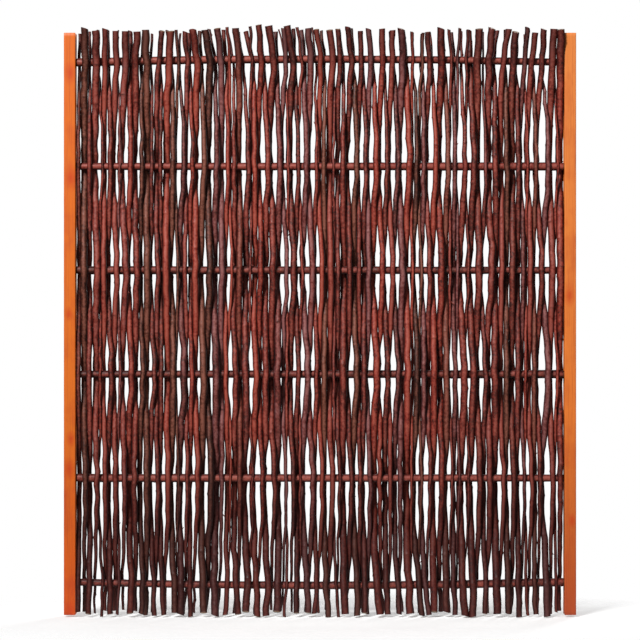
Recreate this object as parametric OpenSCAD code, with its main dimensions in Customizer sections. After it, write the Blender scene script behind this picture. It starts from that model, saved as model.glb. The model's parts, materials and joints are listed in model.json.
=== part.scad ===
// Woven willow hurdle: upright rods woven through round rails, whose ends are
// nailed between a front and a back lath at each side. Millimetres.
// +Z is up and the panel is seen from -Y. The origin is under the middle of
// the panel, level with the lowest rod ends.

/* [Panel] */
// Width over the side laths
panel_w = 1584; // [900:2:2000]
// Height of the side laths
lath_h = 1800; // [900:5:2200]
// Width of a side lath, seen from the front
lath_w = 36; // [28:1:60]
// Thickness of a side lath
lath_t = 16; // [12:0.5:25]
// Width of the eased edges of a lath
lath_edge = 2; // [0.5:0.5:4]

/* [Rails] */
// Number of horizontal rails
rail_count = 6; // [4:1:8]
// Thickness of a rail at its butt
rail_butt_d = 24; // [18:0.5:30]
// Thickness of a rail at its tip
rail_tip_d = 20; // [16:0.5:28]
// How far the top rail bows up and the bottom rail bows down
rail_bow = 11; // [4:0.5:20]
// Height of the bottom rail's ends above the foot of the laths
first_rail_z = 100; // [70:1:160]
// Distance of the top rail's ends below the top of the laths
last_rail_drop = 90; // [70:1:160]
// Least depth shaved off each side of a rail's end to seat it between laths
rail_shave = 1; // [0.5:0.5:3]
// Distance of a rail's end from the outer edge of the laths
rail_inset = 5; // [2:1:12]

/* [Rods] */
// Mean thickness of a full rod at the middle of its height
rod_d = 15.8; // [10:0.1:18]
// Thickness of the thin rods that are woven in among them
thin_rod_d = 7; // [4:0.1:10]
// Share of thin rods
thin_share = 0.14; // [0:0.01:0.3]
// Mean gap between neighbouring rods where they cross
rod_gap = 1; // [0.8:0.1:6]
// Share by which the full rods differ in thickness
rod_spread = 0.26; // [0:0.01:0.3]
// Share of its thickness that a rod gains to its butt and loses to its tip
rod_taper = 0.14; // [0:0.01:0.25]
// Bend radius of a rod where it passes a rail
bend_r = 260; // [150:5:400]
// Distance that a mean rod leans out of line at a rail, towards the rod crossing it
lean = 3; // [0:0.1:4.5]
// Share by which the rods differ in how far they lean
lean_spread = 0.9; // [0:0.05:1]
// Mean reach of the rod ends above the laths, at the sides
top_reach = 7; // [0:1:40]
// How much further the rod ends reach at the crown, left of the middle
crown = 9; // [0:1:30]
// Mean reach of the rod ends below the laths
foot_reach = 0; // [0:1:40]
// How much the rod ends differ in height, up or down
end_spread = 8; // [0:1:20]

/* [Nails] */
// Thickness of a nail's shank
nail_d = 3; // [2:0.1:4]
// How far a nail enters the front lath
nail_bite = 10.5; // [6:0.5:11]
// Width of a nail's head
nail_head_d = 7; // [5:0.5:9]
// Thickness of a nail's head
nail_head_t = 1.2; // [0.8:0.1:2]

/* [Fits] */
// Clearance between a rod and the rail it passes
weave_gap = 0.3; // [0.1:0.1:1]
// Clearance between the end rods and the side laths
side_gap = 2; // [1:0.5:6]
// Clearance of a nail in its hole, on the diameter
nail_gap = 0.2; // [0.1:0.1:0.5]

/* [Hidden] */
// Facets of a circle as drawn; every circle stays a true one
circle_fn = 32;
$fn = circle_fn;
// Facets of a full turn where a large radius sweeps a small angle
sweep_fn = 720;
// Most nodes in the model, and how many of them hold laths and nails
node_limit = 60;
frame_nodes = 6;
// How far one length of a rod runs into the next
lap = 0.6;
// Height that a straight length stands inside the bends it joins
lap_step = 0.07;
// Radius of the slight bends of a bowed rail
rail_bend_r = 6000;
// A rod's ends are free beyond the outer rails, so it crosses the outer bays
// late, as a springy beam does. It turns at this share of the way from the
// inner rail to the outer one, on a bend of this radius.
free_turn = 0.5;
free_bend_r = 1200;
// Share of its slope at the outer rail that a rod's free end keeps
end_slope = 0.7;
// Sideways slope of the rod ends under the crown, to the left, in degrees
crown_tilt = 5.5;
// Sideways slope of the rod ends near the top right corner, in degrees
corner_tilt = 3;
// Sideways slope of the lower rod ends, in degrees
foot_tilt = 1.5;
// How much the rod ends differ in sideways slope, in degrees
tilt_spread = 1.6;
// Middle and half width of the crown, where -1 is the left side and 1 the right
crown_at = -0.17;
crown_half = 0.35;
// Middle and half width of the top right corner's spread
corner_at = 0.8;
corner_half = 0.2;
// Steepest slant of a cut rod end, in degrees
cut_slant = 24;
// Largest sideways drift of a group of rods, and how many rods a wave of it takes
drift = 1.2;
drift_rods = 27;
// How far the wave of drift moves on from rail to rail, in degrees
drift_turn = 110;
// How far a nail hole is drilled past each end of the nail
drill_spare = 1;

// The panel
foot_z = foot_reach + end_spread;
top_z = foot_z + lath_h;
clear_w = panel_w - 2 * lath_w - 2 * side_gap;

// The rails
first_z = foot_z + first_rail_z;
rail_pitch = (top_z - last_rail_drop - first_z) / (rail_count - 1);
rail_l = panel_w - 2 * rail_inset;
rail_seat = rail_tip_d - 2 * rail_shave;
lath_y = rail_seat / 2;

// The rods, numbered from the left
mean_rod_d = rod_d + thin_share * (thin_rod_d - rod_d);
mean_depth = (rail_butt_d + rail_tip_d) / 4 + weave_gap + rod_d / 2;
rod_count = 2 * floor(clear_w / (2 * (mean_rod_d + rod_gap)));
rods_a_node = 2 * ceil(rod_count / 2 / (node_limit - frame_nodes - rail_count));
rod_nodes = ceil(rod_count / rods_a_node);
thick_draw = rands(-1, 1, rod_count, 5);
lean_draw = rands(-1, 1, rod_count, 6);
end_draw = rands(-1, 1, 2 * rod_count, 8);
tilt_draw = rands(-1, 1, 2 * rod_count, 9);
cut_draw = rands(0, 1, 2 * rod_count, 10);
thin_draw = rands(0, 1, rod_count, 11);
rod_r = [
    for (k = [0 : rod_count - 1])
        is_thin(k) ? thin_rod_d / 2 : rod_d / 2 * (1 + rod_spread * thick_draw[k])
];
// Sideways lean of a rod for each millimetre that it stands out of the middle
// plane. Neighbours lean towards each other and stand wider apart for it.
rod_lean = [
    for (k = [0 : rod_count - 1])
        held(k) * lean / mean_depth * (1 + lean_spread * lean_draw[k])
];
widened = [for (k = [1 : rod_count - 1]) norm([1, (rod_lean[k - 1] + rod_lean[k]) / 2])];
bare_pitch = [for (k = [1 : rod_count - 1]) (rod_r[k - 1] + rod_r[k]) * widened[k - 1]];
true_gap = (clear_w - rod_r[0] - rod_r[rod_count - 1] - total(bare_pitch)) / (1 + total(widened));
rod_step = concat([rod_r[0] + true_gap / 2], bare_pitch + true_gap * widened);
rod_x = [
    for (k = [0 : rod_count - 1])
        total([for (j = [0 : k]) rod_step[j]]) - clear_w / 2
];
// Share of the crossing of an outer bay that a rod has done where it turns
free_done = (3 * pow(free_turn, 2) - pow(free_turn, 3)) / 2;
rod_bends = concat(
    [0, bend_r, free_bend_r],
    [for (i = [1 : rail_count - 2]) bend_r],
    [free_bend_r, bend_r, 0]
);

// The nails
nail_l = lath_t + rail_seat + nail_bite;
nail_x = panel_w / 2 - lath_w / 2;

function rail_name(i) = str("rail_", i + 1);
function rods_name(n) = str("rods_", n < 9 ? "0" : "", n + 1);
function total(v) = v * [for (value = v) 1];
function unit(v) = v / norm(v);
function bump(u, at, width) = exp(-pow((u - at) / width, 2));

function is_outer(i) = i == 0 || i == rail_count - 1;
// The top rail bows up and the bottom rail bows down
function bow_way(i) = i == 0 ? -1 : i == rail_count - 1 ? 1 : 0;
function rail_z(i, x) =
    first_z + i * rail_pitch + bow_way(i) * rail_bow * (1 - pow(2 * x / rail_l, 2));
// Side on which rail i has its butt
function butt_side(i) = i % 2 == 0 ? 1 : -1;
function rail_r(i, x) =
    (rail_butt_d + rail_tip_d) / 4
    + butt_side(i) * x / rail_l * (rail_butt_d - rail_tip_d) / 2;

// A rod passes in front of one rail and behind the next, and its neighbours
// take the other side. Rods that cross lean towards each other at the rail.
function face(k, i) = (k + i) % 2 == 0 ? -1 : 1;
function held(k) = k == 0 || k == rod_count - 1 ? 0 : 1;
// A thin rod stands between full ones, and the end rods are full ones
function is_thin(k) =
    held(k) == 1 && thin_draw[k] < thin_share && (k == 1 || thin_draw[k - 1] >= thin_share);
// Where rod k stands, from -1 at the left side to 1 at the right
function across(k) = 2 * rod_x[k] / clear_w;
// How far out of the panel's middle plane rod k stands at rail i
function depth_at(k, i) = rail_r(i, rod_x[k]) + weave_gap + rod_r[k];
// The lean is in step with the depth, so that rods that cross meet side by side
function lean_at(k, i) = -face(k, i) * rod_lean[k] * depth_at(k, i);
function drift_at(k, i) =
    held(k) * drift * bump(across(k), 0, 0.75) * sin(360 * k / drift_rods + drift_turn * i);
// Butts point down and up by turns, so that neighbours fill each other's taper
function butt_down(k) = k % 2 == 0 ? 1 : -1;
function radius_at(k, z) =
    rod_r[k] * (1 + butt_down(k) * rod_taper * (1 - 2 * (z - foot_z) / lath_h));

// A rod passes an outer rail on a slope, and stands further out for it
function slope_at(k, i) =
    is_outer(i) ? 2 * depth_at(k, i) * (1 - free_done) / ((1 - free_turn) * rail_pitch) : 0;
// Where the middle line of rod k passes rail i
function pass(k, i) =
    let (
        x = rod_x[k] + lean_at(k, i) + drift_at(k, i),
        z = rail_z(i, x),
        depth = rail_r(i, x) + weave_gap + radius_at(k, z)
    )
    [x, face(k, i) * depth * norm([1, slope_at(k, i)]), z];
// Where rod k turns between an inner rail and the outer one
function free_point(k, inner, outer) =
    let (from = pass(k, inner), way = pass(k, outer) - from)
    from + [way.x * free_done, way.y * free_done, way.z * free_turn];

// Sideways slope of the rod ends, in degrees: those left of the middle lean
// to the left at the top, and those at the right lean a little to the right
function end_tilt(k, top) =
    let (
        u = across(k),
        group = top
            ? corner_tilt * bump(u, corner_at, corner_half)
                - crown_tilt * bump(u, crown_at, crown_half)
            : foot_tilt * sin(200 * u)
    )
    held(k) * (group + tilt_spread * tilt_draw[2 * k + (top ? 1 : 0)]);
// How much lower than its middle the slanted foot of rod k reaches
function foot_drop(k) =
    radius_at(k, foot_z) * tan(cut_slant * cut_draw[2 * k] + atan(end_slope * slope_at(k, 0)));
function end_point(k, top) =
    let (
        outer = top ? rail_count - 1 : 0,
        inner = top ? rail_count - 2 : 1,
        from = pass(k, outer),
        way = from - free_point(k, inner, outer),
        draw = end_draw[2 * k + (top ? 1 : 0)],
        rise = top_reach + crown * bump(across(k), crown_at, crown_half),
        z = top
            ? top_z + rise + end_spread * draw
            : foot_z - foot_reach - end_spread * draw + foot_drop(k),
        run = abs(z - from.z),
        slope = way * end_slope / abs(way.z)
    )
    [from.x + run * (slope.x + tan(end_tilt(k, top))), from.y + run * slope.y, z];

// The rod's middle line as straight runs between its ends, its passes and the
// turns in its outer bays
function line_through(k) = concat(
    [end_point(k, false), pass(k, 0), free_point(k, 1, 0)],
    [for (i = [1 : rail_count - 2]) pass(k, i)],
    [
        free_point(k, rail_count - 2, rail_count - 1),
        pass(k, rail_count - 1),
        end_point(k, true)
    ]
);
// The angle through which line q turns at its point i
function turn_at(q, i) = acos(unit(q[i] - q[i - 1]) * unit(q[i + 1] - q[i]));
// Moves each inner corner of line q out until the rounded bend at it touches
// the point of line p. Moving a corner also turns its neighbours a little
// further, so this is done over again.
function moved_out(p, q, rounds) =
    let (
        last = len(p) - 1,
        next = [
            for (i = [0 : last])
                i == 0 || i == last
                ? p[i]
                : p[i] + unit(unit(q[i] - q[i - 1]) - unit(q[i + 1] - q[i]))
                    * rod_bends[i] * (1 / cos(turn_at(q, i) / 2) - 1)
        ]
    )
    rounds == 1 ? next : moved_out(p, next, rounds - 1);
function corners(k) =
    let (p = line_through(k))
    moved_out(p, p, 4);

// Places its children with their own X, Y and Z along three given directions
module set_frame(at, x, y, z) {
    multmatrix([
        [x[0], y[0], z[0], at[0]],
        [x[1], y[1], z[1], at[1]],
        [x[2], y[2], z[2], at[2]]
    ])
        children();
}

// Places its children with their Z along the given direction
module aim(at, along) {
    side = unit(cross(along, [0, 1, 0]));
    set_frame(at, side, cross(along, side), along) children();
}

// One rounded bend of the given radius, at corner b between corners a and c
module bend(a, b, c, r, bend_radius) {
    into = unit(b - a);
    out = unit(c - b);
    turn = acos(into * out);
    inward = unit(out - into * (into * out));
    start = b - into * bend_radius * tan(turn / 2);
    set_frame(start + inward * bend_radius, -inward, into, cross(into, inward))
        rotate_extrude(angle = turn, $fn = sweep_fn)
            translate([bend_radius, 0])
                circle(r, $fn = circle_fn);
}

// A straight tapering length of a stem
module stretch(from, to, r_from, r_to) {
    along = unit(to - from);
    aim(from - along * lap, along)
        cylinder(norm(to - from) + 2 * lap, r_from - lap_step, r_to - lap_step);
}

// The end length of a stem, cut square or on a slant
module tail(from, to, r_from, r_to, slant) {
    along = unit(to - from);
    run = norm(to - from) + lap;
    aim(from - along * lap, along)
        if (slant == 0)
            cylinder(run, r_from - lap_step, r_to - lap_step);
        else
            difference() {
                cylinder(run + r_to, r_from - lap_step, r_to - lap_step);
                translate([0, 0, run])
                    rotate([cut_slant * slant, 0, 360 * slant])
                        translate([-2 * r_from, -2 * r_from, 0])
                            cube(4 * r_from);
            }
}

// A round stem through the corners p, with its radius r at each: a bend of the
// given radius at every inner corner and a straight taper between bends. Its
// two ends are cut on the slants given, or square.
module bent_stem(p, r, bends, slants = [0, 0]) {
    last = len(p) - 1;
    reach = [
        for (i = [0 : last])
            i == 0 || i == last ? 0 : bends[i] * tan(turn_at(p, i) / 2)
    ];
    for (i = [1 : last - 1])
        bend(p[i - 1], p[i], p[i + 1], r[i], bends[i]);
    for (i = [1 : last - 2]) {
        along = unit(p[i + 1] - p[i]);
        stretch(p[i] + along * reach[i], p[i + 1] - along * reach[i + 1], r[i], r[i + 1]);
    }
    tail(p[1] - unit(p[1] - p[0]) * reach[1], p[0], r[1], r[0], slants[0]);
    tail(
        p[last - 1] + unit(p[last] - p[last - 1]) * reach[last - 1],
        p[last], r[last - 1], r[last], slants[1]
    );
}

module rod(k) {
    p = corners(k);
    bent_stem(
        p, [for (point = p) radius_at(k, point.z)], rod_bends,
        [cut_draw[2 * k], cut_draw[2 * k + 1]]
    );
}

// One node of neighbouring rods, each a solid of its own
module rods(n) {
    color("#7d3a30")
        for (k = [n * rods_a_node : min((n + 1) * rods_a_node, rod_count) - 1])
            rod(k);
}

// A hole along Y for a nail, from the back face of the back lath
module nail_hole(side, i) {
    translate([side * nail_x, lath_y + lath_t + drill_spare, rail_z(i, nail_x)])
        rotate([90, 0, 0])
            cylinder(nail_l + 2 * drill_spare, d = nail_d + nail_gap);
}

// What is shaved off one side of a rail's end, as far as the lath's inner edge
module shaving(side, back, i) {
    translate([
        side * (nail_x + side_gap / 2),
        back * (lath_y + rail_butt_d / 2),
        rail_z(i, nail_x)
    ])
        cube([lath_w + side_gap, rail_butt_d, 2 * rail_butt_d], center = true);
}

// A round rail, shaved flat at both ends where the laths hold it
module rail(i) {
    color("#6b3328")
        difference() {
            if (bow_way(i) == 0)
                straight_rail(i);
            else
                bowed_rail(i);
            for (side = [-1, 1]) {
                shaving(side, -1, i);
                shaving(side, 1, i);
                nail_hole(side, i);
            }
        }
}

module straight_rail(i) {
    side = butt_side(i);
    translate([-side * rail_l / 2, 0, rail_z(i, 0)])
        rotate([0, side * 90, 0])
            cylinder(rail_l, d1 = rail_tip_d, d2 = rail_butt_d);
}

module bowed_rail(i) {
    x = [for (u = [-2 : 2]) u * rail_l / 4];
    bent_stem(
        [for (at = x) [at, 0, rail_z(i, at)]],
        [for (at = x) rail_r(i, at)],
        [for (at = x) rail_bend_r]
    );
}

// A planed lath with eased edges, drilled for the nails
module lath(side, back) {
    w = lath_w / 2;
    t = lath_t / 2;
    e = lath_edge;
    color("#e2701f")
        difference() {
            translate([side * nail_x, back * (lath_y + t), foot_z])
                linear_extrude(lath_h)
                    polygon([
                        [w, t - e], [w - e, t], [e - w, t], [-w, t - e],
                        [-w, e - t], [e - w, -t], [w - e, -t], [w, e - t]
                    ]);
            for (i = [0 : rail_count - 1])
                nail_hole(side, i);
        }
}

// The nails of one side, driven from the back through the rails
module nails(side) {
    point_l = nail_d;
    color("#9a9a98")
        for (i = [0 : rail_count - 1])
            translate([side * nail_x, lath_y + lath_t, rail_z(i, nail_x)])
                rotate([90, 0, 0]) {
                    translate([0, 0, -nail_head_t])
                        cylinder(nail_head_t, d = nail_head_d);
                    cylinder(nail_l - point_l, d = nail_d);
                    translate([0, 0, nail_l - point_l])
                        cylinder(point_l, d1 = nail_d, d2 = nail_d / 5);
                }
}

lath(-1, -1);  // lath_left_front
lath(-1, 1);  // lath_left_back
lath(1, -1);  // lath_right_front
lath(1, 1);  // lath_right_back
for (i = [0 : rail_count - 1])
    rail(i);
nails(-1);  // nails_left
nails(1);  // nails_right
for (n = [0 : rod_nodes - 1])
    rods(n);
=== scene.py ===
import json
import math

import bpy
import numpy as np
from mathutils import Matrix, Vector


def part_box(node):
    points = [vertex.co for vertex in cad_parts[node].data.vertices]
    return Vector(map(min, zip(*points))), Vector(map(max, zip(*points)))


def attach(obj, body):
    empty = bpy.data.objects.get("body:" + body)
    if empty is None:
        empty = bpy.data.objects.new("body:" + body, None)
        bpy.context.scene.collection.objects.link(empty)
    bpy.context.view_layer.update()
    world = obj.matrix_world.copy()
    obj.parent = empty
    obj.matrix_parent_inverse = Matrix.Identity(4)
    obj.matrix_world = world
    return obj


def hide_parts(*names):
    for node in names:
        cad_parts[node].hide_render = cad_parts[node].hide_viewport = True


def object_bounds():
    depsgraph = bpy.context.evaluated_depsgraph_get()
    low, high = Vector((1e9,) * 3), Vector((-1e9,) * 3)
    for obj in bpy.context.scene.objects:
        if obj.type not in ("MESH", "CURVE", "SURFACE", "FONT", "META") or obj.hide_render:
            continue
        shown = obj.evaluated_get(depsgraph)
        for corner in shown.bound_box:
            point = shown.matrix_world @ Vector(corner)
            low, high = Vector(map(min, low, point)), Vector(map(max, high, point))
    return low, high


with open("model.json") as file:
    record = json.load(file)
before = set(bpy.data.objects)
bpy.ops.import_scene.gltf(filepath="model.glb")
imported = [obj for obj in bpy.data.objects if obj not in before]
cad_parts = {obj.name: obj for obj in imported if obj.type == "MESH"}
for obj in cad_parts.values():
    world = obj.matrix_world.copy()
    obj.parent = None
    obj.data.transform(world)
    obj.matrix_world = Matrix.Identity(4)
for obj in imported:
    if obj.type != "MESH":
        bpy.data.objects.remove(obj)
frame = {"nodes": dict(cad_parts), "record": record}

cad_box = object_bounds()
MM = 0.001
SEED = 23
nodes = sorted(frame["nodes"])
slot_of = {part["node"]: part["material_slot"] for part in frame["record"]["subparts"]}

# Stems
ROD_SIDES = 12
RAIL_SIDES = 20
RING_STEP = 10 * MM
TRACE_STEP = 10 * MM
CLOSEST_RINGS = 1.6 * MM
BUD_RINGS = (-5 * MM, -1.6 * MM, 1.8 * MM, 6 * MM)
BARK_SHARE = 0.9
WOOD_SHARE = 0.84
END_ZONE = 15 * MM
SHARP_TURN = math.radians(50)
GOLDEN_TURN = 0.382
ROD_BUDS = 46 * MM
RAIL_BUDS = 90 * MM
ROD_MEAN_R = 7.5 * MM
RING_MARK_L = 4.5 * MM
BUD_L = 3.5 * MM
BUD_RISE = 1.2 * MM
BUD_ABOVE_SCAR = 1.8 * MM
SCAR_L = 2.2 * MM
OVAL_SHARE, OVAL_LENGTH = 0.035, 300 * MM
LUMP_SHARE, LUMP_LENGTH = 0.025, 100 * MM
SPUR_THICK = (2.0 * MM, 3.2 * MM)
SPUR_LENGTH = (6 * MM, 12 * MM)
SPUR_FREE_RINGS = 8

# Laths
LATH_RING_STEP = 12 * MM
LATH_EDGE_R = 2.4 * MM
LATH_CORNER_STEPS = 4
LATH_LEAST_EDGE_R = 1.2 * MM
LATH_EDGE_WEAR, LATH_WEAR_LENGTH = 0.9 * MM, 90 * MM
LATH_END_EASE = 0.9 * MM
LATH_END_INSET = 6 * MM
LATH_DIP = 0.04 * MM
LATH_DIP_LENGTHS = (0.05, 0.083, 0.21)
LATH_DIP_TWIST = 30 * MM
SHOULDER_GAP = 2 * MM

# The camera, at the height and distance that give the photograph's framing
VIEW_W = 1.978
VIEW_Z = 0.920
CAMERA_FAR = 8.0
SENSOR_W = 36.0
ROOM_LIGHT = 0.18
FLOOR_GLOW = 0.17
FLOOR_SIDES = 96
FLOOR_HALF_W = 1.3
FLOOR_HALF_DEPTH = 0.75


class Flow:
    """A value, a colour or a vector on its way through the nodes of a finish."""

    def __init__(self, finish, socket):
        self.finish, self.socket = finish, socket

    def math(self, operation, first, second):
        return self.finish.node("Math", {"operation": operation}, {0: first, 1: second})

    def __add__(self, other):
        return self.math("ADD", self, other)

    __radd__ = __add__

    def __sub__(self, other):
        return self.math("SUBTRACT", self, other)

    def __rsub__(self, other):
        return self.math("SUBTRACT", other, self)

    def __mul__(self, other):
        return self.math("MULTIPLY", self, other)

    __rmul__ = __mul__

    def __pow__(self, other):
        return self.math("POWER", self, other)


class Finish:
    """A material whose nodes are written as expressions."""

    def __init__(self, name):
        self.material = bpy.data.materials.new(name)
        self.material.use_nodes = True
        self.tree = self.material.node_tree
        self.tree.nodes.clear()
        self.surface = self.tree.nodes.new("ShaderNodeBsdfPrincipled")
        output = self.tree.nodes.new("ShaderNodeOutputMaterial")
        self.tree.links.new(self.surface.outputs[0], output.inputs["Surface"])

    def feed(self, socket, value):
        if isinstance(value, Flow):
            self.tree.links.new(value.socket, socket)
        else:
            socket.default_value = value

    def node(self, kind, settings=None, sockets=None, give=0):
        """A node of one kind: its settings first, then the values or links of its sockets."""
        made = self.tree.nodes.new("ShaderNode" + kind)
        for name, value in (settings or {}).items():
            if name == "stops":
                fill_ramp(made.color_ramp, value)
            else:
                setattr(made, name, value)
        for place, value in (sockets or {}).items():
            self.feed(made.inputs[place], value)
        return Flow(self, made.outputs[give])

    def set(self, sockets):
        for name, value in sockets.items():
            self.feed(self.surface.inputs[name], value)
        return self.material

    def place(self, stretch=(1, 1, 1)):
        """Where a point is on the object, in metres, each way multiplied by its stretch."""
        spot = self.node("TexCoord", give="Object")
        return self.node("VectorMath", {"operation": "MULTIPLY"}, {0: spot, 1: stretch})

    def part(self, place, axis):
        return self.node("SeparateXYZ", {}, {0: place}, give=axis)

    def noise(self, place, size, detail=2.0, rough=0.5, bend=0.0):
        """Soft noise from 0 to 1 whose blots are about this size, in metres."""
        places = {"Vector": place, "Scale": 1 / size, "Detail": detail}
        places |= {"Roughness": rough, "Distortion": bend}
        return self.node("TexNoise", {}, places)

    def cells(self, place, size, give="Distance"):
        """How far a point is from the nearest of many scattered ones, or that one's colour."""
        places = {"Vector": place, "Scale": 1 / size}
        return self.node("TexVoronoi", {"feature": "F1"}, places, give=give)

    def ramp(self, value, *stops):
        return self.node("ValToRGB", {"stops": stops}, {"Fac": value})

    def range(self, value, low, high, to_low=0.0, to_high=1.0):
        """The value moved from one range to another, and held inside it."""
        places = {"Value": value, 1: low, 2: high, 3: to_low, 4: to_high}
        return self.node("MapRange", {"clamp": True}, places)

    def mix(self, share, first, second, way="MIX"):
        """One colour laid over another by a share."""
        settings = {"data_type": "RGBA", "blend_type": way}
        return self.node("Mix", settings, {0: share, 6: first, 7: second}, give=2)

    def mark(self, name):
        """A value that the mesh carries at each of its points."""
        return self.node("Attribute", {"attribute_name": name}, give="Fac")

    def bump(self, height, depth, strength=1.0):
        places = {"Height": height, "Distance": depth, "Strength": strength}
        return self.node("Bump", {}, places)


def fill_ramp(ramp, stops):
    while len(ramp.elements) < len(stops):
        ramp.elements.new(1.0)
    for element, (at, colour) in zip(ramp.elements, stops):
        element.position, element.color = at, colour


def shade(red, green, blue):
    return (red, green, blue, 1.0)


def spread(shades):
    """Shades as evenly spaced stops of a ramp."""
    return [(number / (len(shades) - 1), shade(*each)) for number, each in enumerate(shades)]


# Finishes

COMMON_BARK = ((0.026, 0.002, 0.001), (0.094, 0.007, 0.004), (0.175, 0.018, 0.010), (0.270, 0.045, 0.030))
WOOD_END = shade(0.22, 0.12, 0.06)
WOOD_PITH = shade(0.06, 0.03, 0.015)
LENTICEL = shade(0.30, 0.17, 0.12)
SCAR = shade(0.02, 0.008, 0.006)
GREY_BLOOM = shade(0.16, 0.11, 0.12)
# A red-black laid over the bark as painted shade on the flanks, the foot and the crown
PAINTED_SHADE_BARK = shade(0.020, 0.0015, 0.001)
# Pale pinkish bark laid on the crest that faces front and back: a painted highlight
PAINTED_HIGHLIGHT_BARK = shade(0.40, 0.135, 0.10)
BARK_GLOSS = 0.26
# How much of the painted highlight shows on the crest, and of the painted shade on the flanks
CREST_HIGHLIGHT_SHARE = 0.27
CREST_RANGE = (0.12, 0.55)
FLANK_RANGE = (0.4, 0.9)
FLANK_SHADE = 0.82
# How dark the painted shade makes the bark at the foot and the crown, and the heights that it fades
# between
FOOT_SHADE = 0.75
FOOT_LOW, FOOT_HIGH = 0.25, 0.62
CROWN_SHADE = 0.6
CROWN_LOW, CROWN_HIGH = 1.66, 1.76


def bark(name, own, along=2, bloom=0.0, foot=FOOT_SHADE, crown=CROWN_SHADE):
    """Willow bark. Some stems have the common red-brown, others the shades of their own kind.

    It has a painted highlight on the crest that faces front and back, and painted shade on the flanks,
    the foot and the crown.
    """
    f = Finish(name)
    stretch, squeeze = [1.0, 1.0, 1.0], [1.0, 1.0, 1.0]
    stretch[along], squeeze[along] = 0.05, 0.4
    streaky, blotchy, spot = f.place(stretch), f.place(squeeze), f.place()
    streak = f.noise(streaky, 1.7 * MM, detail=3.0, rough=0.6)
    patch = f.noise(blotchy, 24 * MM, detail=4.0, rough=0.6)
    mottle = f.noise(spot, 8 * MM, detail=3.0, rough=0.65)
    tone = f.mark("tone")
    uneven = (patch - 0.5) * 2.0 + (mottle - 0.5) * 2.2 + (streak - 0.5) * 0.5
    depth = f.range(tone * 0.7 + uneven, -0.25, 0.68)
    common = f.ramp(depth, *spread(COMMON_BARK))
    special = f.ramp(depth, *spread(own))
    kind = f.mark("kind") + patch * 0.3
    colour = f.mix(f.range(kind, 0.55, 0.75), common, special)
    whitish = f.range(f.noise(f.place(squeeze), 12 * MM, detail=4.0, rough=0.65), 0.5, 0.8, 0.0, bloom)
    colour = f.mix(whitish, colour, GREY_BLOOM)
    dots = f.range(f.cells(blotchy, 3.4 * MM), 0.16, 0.24, 1.0, 0.0)
    colour = f.mix(dots * 0.35, colour, LENTICEL)
    # Painted highlight: paler bark along the crest, which faces front and back
    wear_and_highlight = f.range(f.mark("flank"), *CREST_RANGE, CREST_HIGHLIGHT_SHARE, 0.0)
    colour = f.mix(wear_and_highlight * f.range(patch + mottle, 0.7, 1.1, 0.3, 1.0), colour, PAINTED_HIGHLIGHT_BARK)
    # Painted shade: darker bark on the flanks, where neighbouring rods shade them
    flank = f.range(f.mark("flank"), *FLANK_RANGE)
    colour = f.mix(flank * FLANK_SHADE, colour, PAINTED_SHADE_BARK)
    # Painted shade: darker bark towards the foot and the crown
    height = f.part(spot, 2)
    low_down = f.range(height, FOOT_LOW, FOOT_HIGH, foot, 0.0)
    high_up = f.range(height, CROWN_LOW, CROWN_HIGH, 0.0, crown)
    colour = f.mix(low_down + high_up, colour, PAINTED_SHADE_BARK)
    scar = f.mark("scar")
    colour = f.mix(f.range(scar, 0.3, 0.9, 0.0, 0.75), colour, SCAR)
    heart = f.mark("heart")
    wood = f.mix(f.range(heart, 0.05, 0.2), WOOD_PITH, WOOD_END)
    wood = f.mix(f.range(f.noise(spot, 4 * MM, detail=4.0), 0.35, 0.75, 0.0, 0.7), wood, SCAR)
    cut = f.range(f.mark("cut"), 0.35, 0.65)
    wrinkle = f.noise(streaky, 1.1 * MM, detail=4.0, rough=0.65)
    rough = wrinkle * 0.8 + dots * 0.3 + scar * 0.5 + mottle * 1.4
    return f.set({
        "Base Color": f.mix(cut, colour, wood),
        "Roughness": f.range(streak * 0.6 + patch * 0.4 + cut * 0.5 + flank * 0.3, 0.25, 0.8, 0.36, 0.62),
        "Normal": f.bump(rough, 0.5 * MM, 0.7),
        "Specular IOR Level": BARK_GLOSS,
    })


def stained_wood(name, top, middle, foot, knots, dark_share):
    """Planed softwood with an orange stain that is redder towards the foot."""
    f = Finish(name)
    spot = f.place()
    height = f.range(f.part(spot, 2), 0.0, LATH_H)
    stain = f.ramp(height, (0.0, shade(*foot)), (0.35, shade(*middle)), (1.0, shade(*top)))
    warp = f.noise(f.place((1, 1, 0.3)), 50 * MM, detail=2.0) * (9 * MM)
    across = f.part(spot, 0) + warp
    ring_place = f.node("CombineXYZ", {}, {0: across, 1: f.part(spot, 1), 2: f.part(spot, 2) * 0.012})
    grain = f.noise(ring_place, 2.6 * MM, detail=4.0, rough=0.6)
    fine = f.noise(f.place((1, 1, 0.03)), 0.7 * MM, detail=3.0)
    line = f.range(grain, 0.50, 0.72, 0.0, 0.55) + f.range(fine, 0.45, 0.8, 0.0, 0.35)
    deep = f.mix(0.55, stain, shade(0.30, 0.028, 0.004), way="MULTIPLY")
    colour = f.mix(line, stain, deep)
    blotch = f.range(f.noise(f.place((1, 1, 0.55)), 45 * MM, detail=3.0), 0.52, 0.8, 0.0, dark_share)
    colour = f.mix(blotch, colour, shade(0.42, 0.035, 0.006))
    bumps = grain * 0.6 + fine * 0.4
    for x, z, size in knots:
        from_x = (f.part(spot, 0) - x) * (1 / size)
        from_z = (f.part(spot, 2) - z) * (0.55 / size)
        far = (from_x ** 2.0 + from_z ** 2.0) ** 0.5 + f.noise(spot, 8 * MM, detail=2.0) * 0.5
        halo = f.range(far, 0.3, 1.9, 0.75, 0.0)
        colour = f.mix(halo, colour, shade(0.50, 0.036, 0.004))
        bumps = bumps + halo * 0.5
    return f.set({
        "Base Color": colour,
        "Roughness": f.range(line + blotch * 0.6, 0.0, 1.0, 0.42, 0.62),
        "Normal": f.bump(bumps, 0.25 * MM, 0.5),
        "Specular IOR Level": 0.3,
    })


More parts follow.
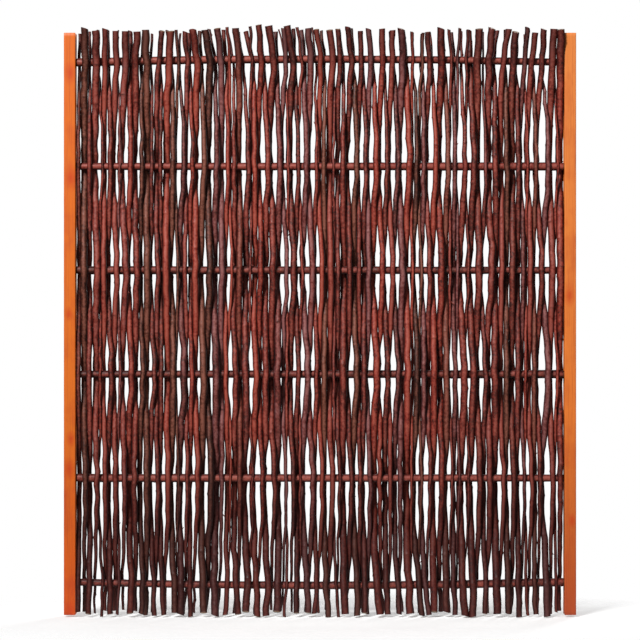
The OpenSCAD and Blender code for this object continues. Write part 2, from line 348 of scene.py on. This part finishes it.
def nail_steel():
    """Zinc-grey wire nails, dull where they were struck."""
    f = Finish("nail_steel")
    spot = f.place()
    dull = f.noise(spot, 2.2 * MM, detail=4.0, rough=0.65)
    colour = f.ramp(dull, (0.3, shade(0.20, 0.20, 0.20)), (0.75, shade(0.52, 0.52, 0.51)))
    return f.set({
        "Base Color": colour,
        "Metallic": f.range(dull, 0.3, 0.6, 0.7, 1.0),
        "Roughness": f.range(dull, 0.3, 0.8, 0.55, 0.32),
        "Normal": f.bump(dull, 0.15 * MM, 0.6),
    })


def pale_floor():
    """A pale floor that fades into the white room a little way from the panel."""
    f = Finish("pale_floor")
    spot = f.place()
    across, along = f.part(spot, 0) * (1 / FLOOR_HALF_W), f.part(spot, 1) * (1 / FLOOR_HALF_DEPTH)
    far = (across ** 2.0 + along ** 2.0) ** 0.5
    soft = f.noise(spot, 0.4, detail=2.0)
    return f.set({
        "Base Color": f.ramp(soft, (0.3, shade(0.88, 0.88, 0.875)), (0.7, shade(0.91, 0.91, 0.905))),
        "Roughness": 0.9,
        "Alpha": f.range(far, 0.45, 1.0, 1.0, 0.0),
        "Emission Color": shade(1, 1, 1),
        "Emission Strength": FLOOR_GLOW,
    })


# Stems: what the solid ones give

def joined_mesh(node):
    """A node's points, edges and triangles, with the points of one place joined to one."""
    mesh = frame["nodes"][node].data
    points = np.empty(3 * len(mesh.vertices))
    mesh.vertices.foreach_get("co", points)
    edges = np.empty(2 * len(mesh.edges), int)
    mesh.edges.foreach_get("vertices", edges)
    mesh.calc_loop_triangles()
    faces = np.empty(3 * len(mesh.loop_triangles), int)
    mesh.loop_triangles.foreach_get("vertices", faces)
    places, number = np.unique(points.reshape(-1, 3).round(6), axis=0, return_inverse=True)
    number = number.reshape(-1)
    return places, number[edges].reshape(-1, 2), number[faces].reshape(-1, 3)


def separate_solids(node):
    """Each separate solid of a node, from the left: its points, edges and triangles."""
    points, edges, faces = joined_mesh(node)
    group = np.arange(len(points))
    while True:
        lowest = np.minimum(group[edges[:, 0]], group[edges[:, 1]])
        wider = group.copy()
        np.minimum.at(wider, edges[:, 0], lowest)
        np.minimum.at(wider, edges[:, 1], lowest)
        if np.array_equal(wider, group):
            break
        group = wider
    solids = []
    for label in np.unique(group):
        renumber = np.cumsum(group == label) - 1
        own_edges = renumber[edges[group[edges[:, 0]] == label]]
        own_faces = renumber[faces[group[faces[:, 0]] == label]]
        solids.append((points[group == label], own_edges, own_faces))
    return sorted(solids, key=lambda solid: solid[0][:, 0].mean())


def cut_plane(points, faces, top):
    """The middle of a cut end, how far it rises each way across the stem, and its reach."""
    corners = points[faces]
    across = np.cross(corners[:, 1] - corners[:, 0], corners[:, 2] - corners[:, 0])
    steep = across[:, 2] / np.maximum(np.linalg.norm(across, axis=1), 1e-12)
    end = points[:, 2].max() if top else points[:, 2].min()
    near = np.abs(corners[:, :, 2].mean(1) - end) < END_ZONE
    facing = (steep > 0.85) if top else (steep < -0.85)
    cap = points[np.unique(faces[near & facing])]
    middle = (cap.min(0) + cap.max(0)) / 2
    rise = np.linalg.lstsq(cap[:, :2] - middle[:2], cap[:, 2] - middle[2], rcond=None)[0]
    return middle, rise, np.ptp(cap[:, 2]) / 2


def trace(points, edges, levels):
    """The middles and the half widths of a stem's slices at these levels."""
    middles, halves = [], []
    first, second = points[edges[:, 0]], points[edges[:, 1]]
    for level in levels:
        crossing = (first[:, 2] <= level) != (second[:, 2] <= level)
        a, b = first[crossing], second[crossing]
        share = (level - a[:, 2]) / (b[:, 2] - a[:, 2])
        outline = a + (b - a) * share[:, None]
        low, high = outline.min(0), outline.max(0)
        middles.append((low + high)[:2] / 2)
        halves.append((high - low)[:2].min() / 2)
    return np.array(middles), np.array(halves)


# Stems: what grows on them

def kinks(along, knots, draw, reach):
    """A line that turns a little at each knot and runs straight between them."""
    at = np.concatenate([[along[0]], knots, [along[-1]]])
    return np.interp(along, at, draw.uniform(-reach, reach, len(at)))


def pushes(stems):
    """How far each rod is pushed aside at each rail, so that some windows close and others widen."""
    traced = [trace(points, edges, RAIL_HEIGHTS) for points, edges, _ in stems]
    x = np.array([middles[:, 0] for middles, _ in traced])
    r = np.array([halves for _, halves in traced])
    window = (x[1:] - r[1:]) - (x[:-1] + r[:-1])
    draw = np.random.default_rng([SEED, 300])
    numbers = np.arange(len(window))[:, None]
    turns = draw.uniform(0, 1, len(RAIL_HEIGHTS))
    group = np.sin(2 * math.pi * (numbers / CLUSTER_RODS + turns)) + draw.uniform(-1.1, 1.1, window.shape)
    narrow = 1 - window / WIDE_WINDOW
    closed = group + narrow > CLOSED_ABOVE
    shut = np.minimum((window - EVEN_GAP) / 2, LARGEST_PUSH)
    inward = np.where(closed, shut, -draw.uniform(LEAST_PUSH, LARGEST_PUSH, window.shape))
    inward = np.where(window > EVEN_GAP, inward, 0)
    pushed = np.zeros_like(x)
    pushed[:-1] += inward
    pushed[1:] -= inward
    pushed[[0, -1]] = 0
    return pushed


def jostled(along, x, depth, push, draw):
    """What moves a rod aside: a steeper lean, its push at the rail that it passes, and its waver.

    Rods run side by side where they cross, part quickly, and pass the rails straight, so that
    the windows between them have parallel sides and blunt ends.
    """
    at_rails = np.interp(RAIL_HEIGHTS, along, depth)
    last = len(RAIL_HEIGHTS) - 1
    below = np.clip(np.searchsorted(RAIL_HEIGHTS, along) - 1, 0, last)
    above = np.clip(below + 1, 0, last)
    passed = np.where(np.sign(depth) == np.sign(at_rails)[below], below, above)
    standing = np.clip(np.abs(depth / at_rails[passed]), 0, 1)
    waver = wander(along, draw, WAVER, WAVER_LENGTH) * (CALM_SHARE + (1 - CALM_SHARE) * standing)
    parts_at = draw.uniform(*PARTS_AT)
    steep = np.clip((standing - parts_at) / draw.uniform(*WIDENS_OVER), 0, 1)
    own_lean = x - x.mean()
    keeps_lean = steep / np.maximum(standing, parts_at)
    return steep * push[passed] + own_lean * (keeps_lean - 1) + waver


def calm(x):
    """1 over most of the panel and 0 at the rods beside the laths, which stay straight."""
    return np.clip((SWAY_HALF_W - np.abs(x)) / SWAY_FADE, 0, 1)


def splayed(along, x, draw):
    """How far a rod's free ends lean to the side, above the top rail and below the bottom one."""
    crown = np.interp(x, CROWN_X, CROWN_LEAN) + draw.uniform(-END_LEAN, END_LEAN)
    foot = draw.uniform(-END_LEAN, END_LEAN)
    above = np.clip(along - RAIL_HEIGHTS[-1], 0, None)
    below = np.clip(RAIL_HEIGHTS[0] - along, 0, None)
    return calm(x) * (crown * above + foot * below)


def wander(along, draw, reach, length, waves=3):
    """A smooth random line with this reach to each side and waves of about this length."""
    line = np.zeros_like(along)
    for _ in range(waves):
        turns = along / (length * draw.uniform(0.7, 1.6)) + draw.random()
        line += np.sin(2 * math.pi * turns) * draw.uniform(0.5, 1.0)
    return line * reach / (0.75 * waves)


def swell(distance, width):
    return np.exp(-(distance / width) ** 2)


def ring_levels(low, high, buds):
    """The heights of a stem's rings: even ones, and closer ones round each bud."""
    even = np.linspace(low, high, max(3, round((high - low) / RING_STEP)))
    extra = [bud + step for bud in buds for step in BUD_RINGS]
    levels = np.sort(np.concatenate([even, extra]))
    kept = [low]
    for level in levels:
        if level - kept[-1] >= CLOSEST_RINGS and high - level >= CLOSEST_RINGS:
            kept.append(level)
    return np.array(kept + [high])


def bud_row(low, high, draw, spacing):
    """Buds from the foot up: their heights, the ways they face and their sizes."""
    heights = []
    level = low + draw.uniform(0.2, 1.0) * spacing
    while level < high:
        heights.append(level)
        level += spacing * draw.uniform(0.6, 1.4)
    facing = 2 * math.pi * (draw.random() + np.arange(len(heights)) * GOLDEN_TURN)
    return np.array(heights), facing, draw.uniform(0.4, 1.2, len(heights))


def slimmed(along, halves, draw):
    """A rod's thickness along its length: less towards its tip, and a little less at the foot."""
    tip = along[-1] if halves[-1] < halves[0] else along[0]
    to_tip = np.clip(1 - np.abs(along - tip) / TIP_RUN, 0, 1)
    to_foot = np.clip(1 - (along - along[0]) / TIP_RUN, 0, 1)
    return 1 - draw.uniform(0, TIP_SLIM) * to_tip - FOOT_SLIM * to_foot


def sway(x, z):
    """How far a whole group of rods sways to the side, so that neighbours stay neighbours."""
    wide = np.sin(2 * math.pi * (x / 0.71 + z / 0.83))
    tight = np.sin(2 * math.pi * (x / 0.37 - z / 0.51 + 0.2))
    return calm(x) * SWAY * (0.7 * wide + 0.3 * tight)


class Pile:
    """The points, faces and marks of a piece, gathered part by part."""

    MARKS = ("tone", "kind", "scar", "cut", "heart", "flank")

    def __init__(self):
        self.points, self.faces = [], []
        self.marks = {name: [] for name in self.MARKS}
        self.count = 0

    def add(self, points, faces, **marks):
        self.points.append(points)
        self.faces += [[corner + self.count for corner in face] for face in faces]
        for name in self.MARKS:
            self.marks[name].append(np.broadcast_to(marks.get(name, 0.0), len(points)))
        self.count += len(points)

    def piece(self, name, finish, slot, *stands_for):
        """Makes the object, which rides on the fixed frame in place of the nodes."""
        mesh = bpy.data.meshes.new(name)
        points = np.clip(np.concatenate(self.points), cad_box[0], cad_box[1])
        mesh.from_pydata(points.tolist(), [], self.faces)
        for mark, parts in self.marks.items():
            values = mesh.attributes.new(mark, "FLOAT", "POINT").data
            values.foreach_set("value", np.concatenate(parts).astype(np.float32))
        mesh.shade_smooth()
        mesh.set_sharp_from_angle(angle=SHARP_TURN)
        mesh.materials.append(finish)
        made = bpy.data.objects.new(name, mesh)
        bpy.context.scene.collection.objects.link(made)
        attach(made, "root")
        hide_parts(*stands_for)
        return made


def ring_faces(rings, sides):
    """Quads that join each ring to the next, and a fan at both ends round their piths."""
    lower = np.arange((rings - 1) * sides).reshape(rings - 1, sides)
    after = np.roll(lower, -1, axis=1)
    quads = np.stack([lower, after, after + sides, lower + sides], -1).reshape(-1, 4)
    first, last = np.arange(sides), np.arange(sides) + (rings - 1) * sides
    foot, head = np.full(sides, rings * sides), np.full(sides, rings * sides + 1)
    foot_fan = np.stack([np.roll(first, -1), first, foot], -1)
    head_fan = np.stack([last, np.roll(last, -1), head], -1)
    return quads.tolist() + foot_fan.tolist() + head_fan.tolist()


def on_cut(plane, u, v):
    """The height of a slanted cut over points across the stem."""
    middle, rise, _ = plane
    return middle[2] + rise[0] * (u - middle[0]) + rise[1] * (v - middle[1])


def grow(pile, solid, sides, draw, spacing, push=None, seat=None, roll=0):
    """Adds a bark-covered stem round a solid one's middle line, along the third axis."""
    points, edges, faces = solid
    foot, head = cut_plane(points, faces, top=False), cut_plane(points, faces, top=True)
    low, high = foot[0][2] + foot[2] + CLOSEST_RINGS, head[0][2] - head[2] - CLOSEST_RINGS
    traced = np.linspace(low, high, round((high - low) / TRACE_STEP))
    middles, halves = trace(points, edges, traced)
    buds, facing, sizes = bud_row(low, high, draw, spacing)
    body = ring_levels(low, high, buds)
    if seat:
        shoulders = [side * (seat[0] + step) for side in (-1, 1) for step in (-0.4 * MM, 0.4 * MM)]
        body = np.unique(np.concatenate([body, shoulders]))
    ends = 3
    level = np.concatenate([[foot[0][2]] * ends, body, [head[0][2]] * ends])[:, None]
    inner = np.array([WOOD_SHARE, BARK_SHARE, 1.0])
    share = np.concatenate([inner, np.ones(len(body)), inner[::-1]])[:, None]
    turn = np.arange(sides)[None] * 2 * math.pi / sides
    girth = np.interp(level, traced, halves)
    flat = level[:, 0]
    oval = wander(flat, draw, OVAL_SHARE, OVAL_LENGTH)[:, None] * np.cos(2 * (turn + 3 * draw.random()))
    radius = PLUMP + girth * (1 + oval + wander(flat, draw, LUMP_SHARE, LUMP_LENGTH)[:, None])
    if push is not None:
        radius = radius * slimmed(flat, halves, draw)[:, None]
    scar = np.zeros_like(radius)
    small = girth.mean() / ROD_MEAN_R
    for height, way, size in zip(buds, facing, sizes):
        ring_mark = swell(level - height, RING_MARK_L)
        bud = swell(level - height - BUD_ABOVE_SCAR, BUD_L)
        side = np.cos(turn - way) * 0.5 + 0.5
        radius = radius + ring_mark * size * small * (0.1 + 0.2 * side) * MM
        radius = radius + bud * side ** 6 * size * small * BUD_RISE
        scar = np.maximum(scar, swell(level - height, SCAR_L) * side ** 3 * min(size, 1))
    middle_u = np.interp(flat, traced, middles[:, 0]) + kinks(flat, buds, draw, KINK)
    middle_v = np.interp(flat, traced, middles[:, 1]) + kinks(flat, buds, draw, KINK)
    if push is not None:
        aside = jostled(flat, middle_u, middle_v, push, draw) + splayed(flat, middle_u, draw)
        middle_u = middle_u + sway(middle_u, flat) + aside
    u = middle_u[:, None] + share * radius * np.cos(turn)
    v = middle_v[:, None] + share * radius * np.sin(turn)
    w = np.repeat(level, sides, axis=1)
    for plane, rows in ((foot, slice(0, ends)), (head, slice(-ends, None))):
        shift = middle_u[rows][0] - plane[0][0]
        w[rows] = on_cut(plane, u[rows] - shift, v[rows])
    cut = np.where(share < BARK_SHARE, 1.0, 0.0) * np.ones_like(u)
    heart = share * np.ones_like(u)
    # How far each point lies towards the stem's sides, away from the crests that face front and back; the
    # bark's painted highlight and painted shade follow it
    flank = np.abs(np.sin(turn) if roll else np.cos(turn)) * np.ones_like(u)
    if seat:
        shaved = (np.abs(w) > seat[0]) & (np.abs(u) > seat[1])
        u = np.where(np.abs(w) > seat[0], np.clip(u, -seat[1], seat[1]), u)
        cut, heart = np.where(shaved, 1.0, cut), np.where(shaved, 0.5, heart)
    rings = np.stack([u, v, w], -1).reshape(-1, 3)
    piths = np.array([rings[:sides].mean(0), rings[-sides:].mean(0)])
    tone, kind = draw.random(), draw.random()
    pile.add(
        np.roll(np.concatenate([rings, piths]), roll, axis=1),
        ring_faces(len(flat), sides),
        tone=tone,
        kind=kind,
        scar=np.append(scar.ravel(), [0, 0]),
        cut=np.append(cut.ravel(), [1, 1]),
        heart=np.append(heart.ravel(), [0, 0]),
        flank=np.append(flank.ravel(), [0, 0]),
    )
    return flat, middle_u, middle_v, radius.mean(1), tone


def spur(pile, base, way, thick, length, tone, sides=6):
    """A short broken side shoot."""
    way = way / np.linalg.norm(way)
    side = np.cross(way, (0.0, 1.0, 0.0))
    side /= np.linalg.norm(side)
    up = np.cross(way, side)
    turn = np.arange(sides)[:, None] * 2 * math.pi / sides
    ring = np.cos(turn) * side + np.sin(turn) * up
    steps = ((0.0, 1.35), (0.45, 1.0), (0.8, 0.9), (1.0, 0.75))
    rings = [base + way * length * at + ring * thick / 2 * wide for at, wide in steps]
    tip = base + way * length * 1.03
    points = np.concatenate(rings + [base[None], tip[None]])
    cut = np.zeros(len(points))
    cut[-1] = 1.0
    pile.add(points, ring_faces(len(steps), sides), tone=tone, cut=cut, heart=0.5, scar=0.0)


# The rods

def rods(node, stems, pushed, finish):
    """The rods of one node, each with its own buds, bends and spurs."""
    pile = Pile()
    number = int(node.split("_")[1])
    for place, (solid, push) in enumerate(zip(stems, pushed)):
        draw = np.random.default_rng([SEED, number, place])
        along, x, y, r, tone = grow(pile, solid, ROD_SIDES, draw, ROD_BUDS, push=push)
        for _ in range(draw.integers(0, 4)):
            at = draw.integers(SPUR_FREE_RINGS, len(along) - SPUR_FREE_RINGS)
            side = draw.choice([-1, 1])
            lift = 1 if r[SPUR_FREE_RINGS] > r[-SPUR_FREE_RINGS] else -1
            base = np.array([x[at] + side * 0.6 * r[at], y[at], along[at]])
            way = np.array([side * draw.uniform(0.45, 0.8), draw.uniform(-0.2, 0.2), lift])
            spur(pile, base, way, draw.uniform(*SPUR_THICK), draw.uniform(*SPUR_LENGTH), tone)
    return pile.piece(node.replace("rods", "willow_rods"), finish, slot_of[node], node)


# The rails

def rail(node, finish):
    """A rail: a thicker stem that lies along the panel, shaved flat between the laths."""
    pile = Pile()
    points, edges, faces = separate_solids(node)[0]
    upright = (np.roll(points, -1, axis=1), edges, faces)
    draw = np.random.default_rng([SEED, 100, int(node.split("_")[1])])
    low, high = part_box("lath_left_front")
    seat = (-high.x - SHOULDER_GAP, -high.y)
    grow(pile, upright, RAIL_SIDES, draw, RAIL_BUDS, seat=seat, roll=1)
    return pile.piece(node.replace("rail", "willow_rail"), finish, slot_of[node], node)


# The laths

def lath_outline(half_w, half_t, edge, across=8, through=4):
    """A rounded rectangle, anticlockwise, as corners of the lath's section."""
    corner = np.linspace(0, math.pi / 2, LATH_CORNER_STEPS + 1)
    outline = []
    for quarter in range(4):
        a, b = (half_w, half_t) if quarter % 2 == 0 else (half_t, half_w)
        arc = np.stack([a - edge + edge * np.cos(corner), b - edge + edge * np.sin(corner)], 1)
        flats = across if quarter % 2 == 0 else through
        run = np.linspace(arc[-1], [-(a - edge), b], flats + 1)[1:-1]
        side = np.concatenate([arc, run])
        spin = quarter * math.pi / 2
        turned = np.array([[math.cos(spin), math.sin(spin)], [-math.sin(spin), math.cos(spin)]])
        outline.append(side @ turned)
    return np.concatenate(outline)


def lath(node, finish, number):
    """A planed lath with worn edges and slightly uneven faces."""
    low, high = (np.array(corner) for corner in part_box(node))
    draw = np.random.default_rng([SEED, 200, number])
    middle, half = (low + high) / 2, (high - low) / 2
    body = np.linspace(low[2], high[2], round((high[2] - low[2]) / LATH_RING_STEP))
    ease, within = LATH_END_EASE, LATH_END_INSET
    level = np.concatenate([[low[2]] * 2, [low[2] + ease], body[1:-1], [high[2] - ease], [high[2]] * 2])
    inset = np.concatenate([[within, ease, 0], np.zeros(len(body) - 2), [0, ease, within]])
    wear_and_highlight = LATH_EDGE_R + wander(level, draw, LATH_EDGE_WEAR, LATH_WEAR_LENGTH, waves=5)
    rings = []
    for height, edge, step in zip(level, wear_and_highlight, inset):
        outline = lath_outline(half[0] - step, half[1] - step, max(edge, LATH_LEAST_EDGE_R))
        rings.append(np.column_stack([outline, np.full(len(outline), height)]))
    rings = np.array(rings)
    sides = rings.shape[1]
    outward = rings[:, :, :2] / half[:2]
    dip = sum(
        np.sin(2 * math.pi * (rings[:, :, 2] / length + rings[:, :, 0] / LATH_DIP_TWIST + draw.random()))
        for length in LATH_DIP_LENGTHS
    )
    rings[:, :, :2] -= np.sign(outward) * np.abs(outward) ** 8 * (dip[..., None] + 3) * LATH_DIP
    points = rings.reshape(-1, 3) + [middle[0], middle[1], 0]
    piths = np.array([points[:sides].mean(0), points[-sides:].mean(0)])
    pile = Pile()
    pile.add(np.concatenate([points, piths]), ring_faces(len(level), sides))
    return pile.piece(node.replace("lath", "stained_lath"), finish, slot_of[node], node)


# The whole panel

# How far groups of rods sway to the side, and where at the sides that ends
SWAY = 1.8 * MM
SWAY_HALF_W = 0.73
SWAY_FADE = 0.12
# How the rods are pushed together and apart at the rails, so that windows close and widen
LARGEST_PUSH = 3.8 * MM
LEAST_PUSH = 1.4 * MM
EVEN_GAP = 1 * MM
WIDE_WINDOW = 8 * MM
CLUSTER_RODS = 17
CLOSED_ABOVE = 0.58
# The lean of the free ends: their sideways rise for each unit along, across the crown
CROWN_X = (-0.5, -0.3, 0.2, 0.45, 0.6)
CROWN_LEAN = (0.0, -0.045, -0.045, 0.02, 0.05)
END_LEAN = 0.09
# How much thinner the tips are, and over what length
TIP_SLIM = 0.6
TIP_RUN = 0.6
FOOT_SLIM = 0.03
# How far a rod strays from the middle line, and how much its bark stands proud of the solid
KINK = 0.35 * MM
PLUMP = 1.2 * MM
WAVER = 2.2 * MM
WAVER_LENGTH = 95 * MM
CALM_SHARE = 0.3
# Where rods that cross part, as a share of their depth at the rail, and what they widen over
PARTS_AT = (0.06, 0.3)
WIDENS_OVER = (0.4, 0.75)

RAIL_HEIGHTS = np.array(
    [sum(corner.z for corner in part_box(node)) / 2 for node in nodes if node.startswith("rail")]
)
LATH_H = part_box("lath_left_front")[1].z

RED_BARK = ((0.030, 0.002, 0.001), (0.135, 0.009, 0.004), (0.245, 0.023, 0.012), (0.330, 0.052, 0.030))
BROWN_BARK = ((0.011, 0.003, 0.001), (0.040, 0.009, 0.004), (0.085, 0.022, 0.010), (0.165, 0.052, 0.031))
PLUM_BARK = ((0.018, 0.002, 0.002), (0.074, 0.010, 0.009), (0.132, 0.028, 0.027), (0.200, 0.070, 0.070))
RAIL_BARK = ((0.028, 0.003, 0.001), (0.105, 0.012, 0.007), (0.200, 0.030, 0.019), (0.300, 0.060, 0.040))
BARKS = {
    "willow_red": bark("willow_red", RED_BARK),
    "willow_brown": bark("willow_brown", BROWN_BARK),
    "willow_plum": bark("willow_plum", PLUM_BARK, bloom=0.35),
    "rail_bark": bark("rail_bark", RAIL_BARK, along=0, foot=0.0, crown=0.0),
}
LEFT_STAIN = ((0.68, 0.135, 0.010), (0.69, 0.150, 0.011), (0.60, 0.080, 0.006))
# The right laths' stain is paler at the top than the left laths': partly their own stain colour, partly
# painted light that makes up for the rods' shadow across them
RIGHT_STAIN = ((0.78, 0.235, 0.050), (0.74, 0.185, 0.026), (0.38, 0.055, 0.013))
LEFT_KNOTS = (
    (-0.772, 1.684, 0.014), (-0.770, 1.360, 0.016), (-0.777, 0.939, 0.009),
    (-0.770, 0.553, 0.010), (-0.776, 0.460, 0.014), (-0.772, 0.022, 0.012),
)
RIGHT_KNOTS = ((0.771, 0.995, 0.013), (0.779, 0.300, 0.009))

rod_nodes = [node for node in nodes if node.startswith("rods")]
stems = {node: separate_solids(node) for node in rod_nodes}
pushed = pushes([solid for node in rod_nodes for solid in stems[node]])
for node in rod_nodes:
    own, pushed = pushed[:len(stems[node])], pushed[len(stems[node]):]
    rods(node, stems[node], own, BARKS[slot_of[node]])
for node in nodes:
    if node.startswith("rail"):
        rail(node, BARKS["rail_bark"])

lath("lath_left_front", stained_wood("stain_left_front", *LEFT_STAIN, LEFT_KNOTS, 0.5), 1)
lath("lath_left_back", stained_wood("stain_left_back", *LEFT_STAIN, RIGHT_KNOTS, 0.4), 2)
lath("lath_right_front", stained_wood("stain_right_front", *RIGHT_STAIN, RIGHT_KNOTS, 0.4), 3)
lath("lath_right_back", stained_wood("stain_right_back", *RIGHT_STAIN, LEFT_KNOTS, 0.4), 4)

steel = nail_steel()
for node in ("nails_left", "nails_right"):
    cad = frame["nodes"][node]
    cad.data.materials.clear()
    cad.data.materials.append(steel)


# Floor, light and camera

def soft_light(name, size, power, place, aim, spread=180):
    light = bpy.data.lights.new(name, "AREA")
    light.shape, light.size, light.energy = "SQUARE", size, power
    light.spread = math.radians(spread)
    made = bpy.data.objects.new(name, light)
    made.location = place
    made.rotation_mode = "QUATERNION"
    toward = (np.array(aim) - np.array(place)).tolist()
    made.rotation_quaternion = Vector(toward).to_track_quat("-Z", "Y")
    made.visible_camera = False
    bpy.context.scene.collection.objects.link(made)


floor_place = (0, 0, cad_box[0].z)
bpy.ops.mesh.primitive_circle_add(
    vertices=FLOOR_SIDES, radius=FLOOR_HALF_W, fill_type="NGON", location=floor_place
)
floor = bpy.context.object
floor.name = "floor"
floor.data.materials.append(pale_floor())

soft_light("key", 2.0, 76, (-3.4, -7.2, 7.4), (0, 0, 1.3), spread=40)
soft_light("back", 2.4, 38, (3.0, 6.0, 4.4), (0, 0, 0.9), spread=60)

# The room is white to the camera and dim as a light
world = bpy.data.worlds.new("pale_room")
world.use_nodes = True
room = world.node_tree
background = room.nodes["Background"]
background.inputs["Color"].default_value = (1, 1, 1, 1)
path = room.nodes.new("ShaderNodeLightPath")
dimmer = room.nodes.new("ShaderNodeMapRange")
dimmer.inputs["To Min"].default_value = ROOM_LIGHT
dimmer.inputs["To Max"].default_value = 1.0
room.links.new(path.outputs["Is Camera Ray"], dimmer.inputs["Value"])
room.links.new(dimmer.outputs[0], background.inputs["Strength"])
bpy.context.scene.world = world
bpy.context.scene.view_settings.view_transform = "Standard"

camera = bpy.data.cameras.new("camera")
camera.sensor_width = SENSOR_W
camera.lens = SENSOR_W * CAMERA_FAR / VIEW_W
camera_object = bpy.data.objects.new("camera", camera)
front_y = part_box("lath_left_front")[0].y
camera_object.location = (0, front_y - CAMERA_FAR, VIEW_Z)
camera_object.rotation_euler = (math.radians(90), 0, 0)
bpy.context.scene.collection.objects.link(camera_object)
bpy.context.scene.camera = camera_object
